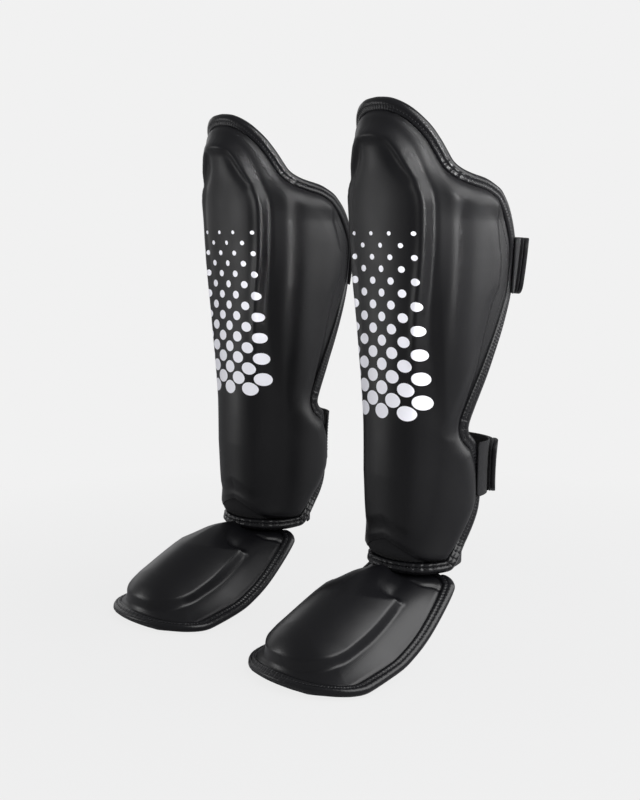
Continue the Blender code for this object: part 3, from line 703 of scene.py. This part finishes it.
def straps(name):
    middle = STRAP_HEIGHTS[name]
    low, high = middle - STRAP_WIDTH / 2, middle + STRAP_WIDTH / 2
    edge, inward = flap_edges(low, high)
    hook_level = SEAT + LOOP + GAP
    strap_level = hook_level + HOOK + GAP
    tab_level = strap_level + ELASTIC + GAP
    last = edge + 7 * STRAP_PITCH
    start = edge + STRAP_PITCH

    def level_band(first, second, radius, ends):
        def flat(u, v):
            w = rounded(u, v, abs(second - first), radius, ends)
            return np.column_stack([mix(first, second, u), mix(low, high, w)])
        return flat

    def band(piece, flat, bottom, top, columns, mat, body, edge_size=0.0004):
        obj = patch(f"left_{name}_{piece}", columns, 14, lambda u, v: LEG.at(*flat(u, v).T, top(u) if callable(top) else top),
                    lambda u, v: LEG.at(*flat(u, v).T, bottom(u) if callable(bottom) else bottom), flat, edge_size)
        return both(dress(obj, mat), body, (f"{name}_{piece}",))

    band("loop_panel", level_band(edge - STRAP_LAP, last, 0.003, (True, True)), SEAT, SEAT + LOOP, 40, loop_tape,
         "shin")
    band("strap_anchor", level_band(-inward + STRAP_LAP, -inward, 0.001, (True, False)), SEAT, SEAT + ELASTIC, 10,
         elastic, "shin")
    back = round_back(start, inward + 8 * GAP, low, high)
    reach = 2 * half_girth(middle) - inward - start
    lapped = (last - start) / reach

    def strap_flat(u, v):
        return back(u, rounded(u, v, reach, 0.009, (True, False)))

    def strap_base(u):
        return mix(strap_level, SEAT, rise(u, lapped, lapped + 0.28 * (1 - lapped)))

    band("strap", strap_flat, strap_base, lambda u: strap_base(u) + ELASTIC, 140, elastic, f"{name}_strap")
    band("hook_pad", level_band(start + 0.0006, start + 5 * STRAP_PITCH, 0.009, (True, True)), hook_level,
         hook_level + HOOK, 30, hook_tape, f"{name}_strap", 0.0003)
    band("strap_tab", level_band(start - 0.0006, start + 2 * STRAP_PITCH, 0.009, (True, False)), tab_level,
         tab_level + TAB + 0.0018, 24, pu_tab, f"{name}_strap", 0.0014)
    strap_stitching(name, low, high, start, inward, tab_level + TAB + 0.0018)


def strap_stitching(name, low, high, start, inward, tab_top):
    def box(s0, s1):
        return [[(s0, h) for h in (low + 0.004, high - 0.004)], [(s1, h) for h in (low + 0.004, high - 0.004)]]

    def row(line, level):
        return stitch_row(LEG, along(np.array(line, float), np.linspace(0, 1, 60)), level, 0.0030)

    rows = [row(x, SEAT + ELASTIC) for x in box(-inward + 0.0062, -inward + 0.0018)]
    obj = stitches(f"left_{name}_anchor_stitching", *(np.concatenate(x) for x in zip(*rows)))
    both(dress(obj, thread), "shin")
    seam = start + 0.0125
    rows = [row([(seam, low + 0.002), (seam, high - 0.002)], tab_top)]
    obj = stitches(f"left_{name}_tab_stitching", *(np.concatenate(x) for x in zip(*rows)))
    both(dress(obj, thread), f"{name}_strap")


# Foot

def foot_metric(q, p):
    """Metres to foot coordinates at a place: across and down."""
    step = 0.004
    across = np.linalg.norm(FOOT.at(q + step, p) - FOOT.at(q - step, p), axis=-1) / (2 * step)
    down = np.linalg.norm(FOOT.at(q, np.minimum(p + step, 1)) - FOOT.at(q, p - step), axis=-1) / (
        np.minimum(p + step, 1) - p + step)
    return np.stack([1 / across, 1 / down], -1)


def toe_end(q):
    """How far down the foot form the pad reaches: rounded off towards the toe's corners."""
    corner = np.clip((np.abs(q) - 0.62) / 0.38, 0, 1)
    return 1 - 0.055 * np.clip((np.abs(q) - 0.30) / 0.70, 0, 1) ** 2.2 - 0.09 * (1 - np.sqrt(1 - 0.95 * corner ** 2))


def foot_edge(step=0.0005):
    """Edge of the foot pad from one end of the collar round the toe to the other, in foot coordinates."""
    p = np.linspace(0.105, toe_end(1), 400)[:-1]
    t = np.linspace(1, -1, 400)
    line = np.vstack([np.column_stack([p * 0 + 1, p]), np.column_stack([t, toe_end(t)]),
                      np.column_stack([p * 0 - 1, p])[::-1]])
    for _ in range(200):
        line[1:-1] = (line[:-2] + 2 * line[1:-1] + line[2:]) / 4
    run = np.concatenate([[0], np.cumsum(np.linalg.norm(np.diff(FOOT.at(*line.T), axis=0), axis=1))])
    at = np.linspace(0, run[-1], round(run[-1] / step))
    return np.column_stack([np.interp(at, run, line[:, k]) for k in (0, 1)])


def foot_height(q, p):
    """Outer surface of the instep pad: a flange that swells gently, and the dome with its steep wall."""
    size = 1 / foot_metric(q, p)
    edge = np.minimum((1 - np.abs(q)) * size[..., 0], (toe_end(q) - p) * size[..., 1])
    pad = MARGIN + 0.0002 + (FOOT_PAD - MARGIN) * rise(edge, 0.004, 0.030)
    span = np.array([0.055, 0.165])
    e = depth_in(np.stack([q, p], -1) * span, np.array(DOME_LINE)[:, ::-1] * span)
    blur = np.interp(p, (0.10, 0.26, 0.35, 0.37, 0.75, 0.88), (0.012, 0.010, 0.0050, 0.0030, 0.0028, 0.0045))
    pad += DOME_RAISE * np.interp(p, (0.10, 0.30, 0.5, 0.75, 0.92), (0.5, 0.8, 0.85, 0.80, 0.62)) * rise(e, -blur, 0.7 * blur)
    pad += 0.0058 * (1 - (1 - np.clip(e / 0.034, 0, 1)) ** 2)
    pad -= 0.0005 * bump(edge, 0.0092, 0.0010)
    # puckers under the hem, beside the dome
    fold = (p - 0.195 - 0.006 * np.sin(22 * np.abs(q))) * span[1]
    return pad - 0.0011 * bump(fold, 0, 0.0018) * rise(np.abs(q), 0.42, 0.56) * rise(-np.abs(q), -0.95, -0.85)


def foot_pad():
    def place(u, v):
        q = mix(-0.965, 0.965, u)
        return np.column_stack([q, v * (toe_end(q) - 0.018)])

    columns, rows = ((130, 170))
    obj = patch("left_foot_cover", columns, rows,
                lambda u, v: FOOT.at(*place(u, v).T, foot_height(*place(u, v).T)),
                lambda u, v: FOOT.at(*place(u, v).T, LINING + 0.0002), lambda u, v: place(u, v) * (0.062, 0.165))
    for piece in both(dress(obj, pu_foot), "foot", ("foot_cover", "foot_foam", "foot_dome_foam")):
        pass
    obj = patch("left_foot_lining", 48, 60, lambda u, v: FOOT.at(*place(u, v).T, LINING),
                lambda u, v: FOOT.at(*place(u, v).T, 0.0), lambda u, v: place(u, v) * (0.062, 0.165))
    for piece in both(dress(obj, lining_cloth), "foot", ("foot_lining",)):
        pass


def foot_binding():
    line = foot_edge()
    metric = foot_metric(*line.T)
    real = line / metric.mean(0)
    tangent = unit(np.gradient(real, axis=0))
    into = np.column_stack([-tangent[:, 1], tangent[:, 0]])
    if np.dot(into[len(into) // 2], (0, -1)) < 0:
        into = -into
    pucker = np.full(len(line), 0.25)
    obj = binding("left_foot_binding", FOOT, line, into, False, metric, pucker, np.ones(len(line)))
    both(dress(obj, binding_vinyl), "foot", ("foot_binding",))
    rows = [stitch_row(FOOT, line + into * 0.0046 * metric, 0.0047)]
    obj = stitches("left_foot_stitching", *(np.concatenate(x) for x in zip(*rows)))
    both(dress(obj, thread), "foot")


def sole_strap():
    first, last = 0.50, 0.72
    def flat(u, v):
        return np.column_stack([mix(-0.06, 0.06, u), mix(first, last, v) * 0.165])

    def mid(u, v):
        p = mix(first, last, v)
        x = np.clip(np.abs(2 * u - 1), 0, 1)
        ends = [FOOT.at(0 * p + q, p, -0.0017) for q in (0.786, 0.89)]
        centre = ends[0] * (0, 1, 1) - (0, 0, 0.003)
        near = mix(centre, ends[0], 0.6) - (0, 0, 0.001)
        x = x[:, None]
        path = np.where(x < 0.5, mix(centre, near, x / 0.5),
                        np.where(x < 0.84, mix(near, ends[0], (x - 0.5) / 0.34), mix(ends[0], ends[1], (x - 0.84) / 0.16)))
        path[:, 0] *= np.sign(2 * u - 1)
        return path

    obj = patch("left_sole_strap", 60, 12, lambda u, v: mid(u, v) - (0, 0, ELASTIC / 2),
                lambda u, v: mid(u, v) + (0, 0, ELASTIC / 2), flat, 0.0004)
    both(dress(obj, elastic), "foot", ("sole_strap",))


# Stage, light and camera

def area_light(name, spot, target, width, height, power, spread=180):
    """Rectangular light turned towards a target, spread in degrees."""
    bpy.ops.object.light_add(type="AREA", location=spot)
    light = bpy.context.object
    light.name = name
    light.data.shape = "RECTANGLE"
    light.data.size, light.data.size_y = width, height
    light.data.energy = power
    light.data.spread = math.radians(spread)
    light.rotation_euler = (target - Vector(spot)).to_track_quat("-Z", "Y").to_euler()


def studio():
    scene = bpy.context.scene
    scene.view_settings.view_transform = "Standard"
    pale = rgb("#F1F1F1")
    bpy.ops.mesh.primitive_plane_add(size=30, location=(0, 0, -0.0008))
    floor = bpy.context.object
    floor.name = "floor"
    mat, tree, shader = material("Pale floor", "#A0A0A2", 0.9, **{"Specular IOR Level": 0.0})
    glow = node(tree, "ShaderNodeEmission", {"Color": pale, "Strength": 1.0})
    path = node(tree, "ShaderNodeLightPath")
    coords = node(tree, "ShaderNodeTexCoord")
    reach = node(tree, "ShaderNodeVectorMath", {0: coords.outputs["Object"]}, operation="LENGTH")
    clear = node(tree, "ShaderNodeMapRange", {"Value": reach.outputs["Value"], "From Min": 0.25, "From Max": 0.75,
                                             "To Min": 0.92, "To Max": 1.0})
    share = node(tree, "ShaderNodeMath", {0: path.outputs["Is Camera Ray"], 1: clear.outputs["Result"]},
                 operation="MULTIPLY")
    blend = node(tree, "ShaderNodeMixShader", {"Fac": share.outputs["Value"], 1: shader.outputs["BSDF"],
                                               2: glow.outputs["Emission"]})
    tree.links.new(blend.outputs["Shader"], tree.nodes["Material Output"].inputs["Surface"])
    dress(floor, mat)
    world = bpy.data.worlds.new("Studio")
    scene.world = world
    world.use_nodes = True
    tree = world.node_tree
    back = tree.nodes["Background"]
    path = node(tree, "ShaderNodeLightPath")
    shade = node(tree, "ShaderNodeMix", {"Factor": path.outputs["Is Camera Ray"], 6: rgb("#A8A8AA"), 7: pale},
                 data_type="RGBA")
    tree.links.new(shade.outputs[2], back.inputs["Color"])
    back.inputs["Strength"].default_value = 1.0
    middle, upper_flank = Vector((0.06, -0.04, 0.24)), Vector((0.16, -0.03, 0.40))
    area_light("high_right", (1.38, 0.12, 1.12), middle, 2.1, 1.35, 62)
    area_light("low_right", (0.84, 1.28, 0.56), middle, 0.9, 0.7, 10)
    area_light("left", (-1.40, 0.05, 0.50), middle, 0.9, 0.8, 1.6)
    area_light("left_strip", (-0.854, -0.864, 0.24), middle, 0.25, 0.50, 2.4)
    area_light("side_right", (1.50, -0.60, 0.44), upper_flank, 0.6, 0.15, 0.35, spread=10)
    bpy.ops.object.camera_add(location=(0.8722, -0.7693, 0.3555),
                              rotation=(math.radians(90 - 7.62), 0, math.radians(50)))
    camera = bpy.context.object
    camera.data.lens = 58.5
    scene.camera = camera


shin_cover()
ankle_panel()
shin_lining()
shin_binding()
gusset_and_band()
straps("upper")
straps("lower")
foot_pad()
foot_binding()
sole_strap()
studio()
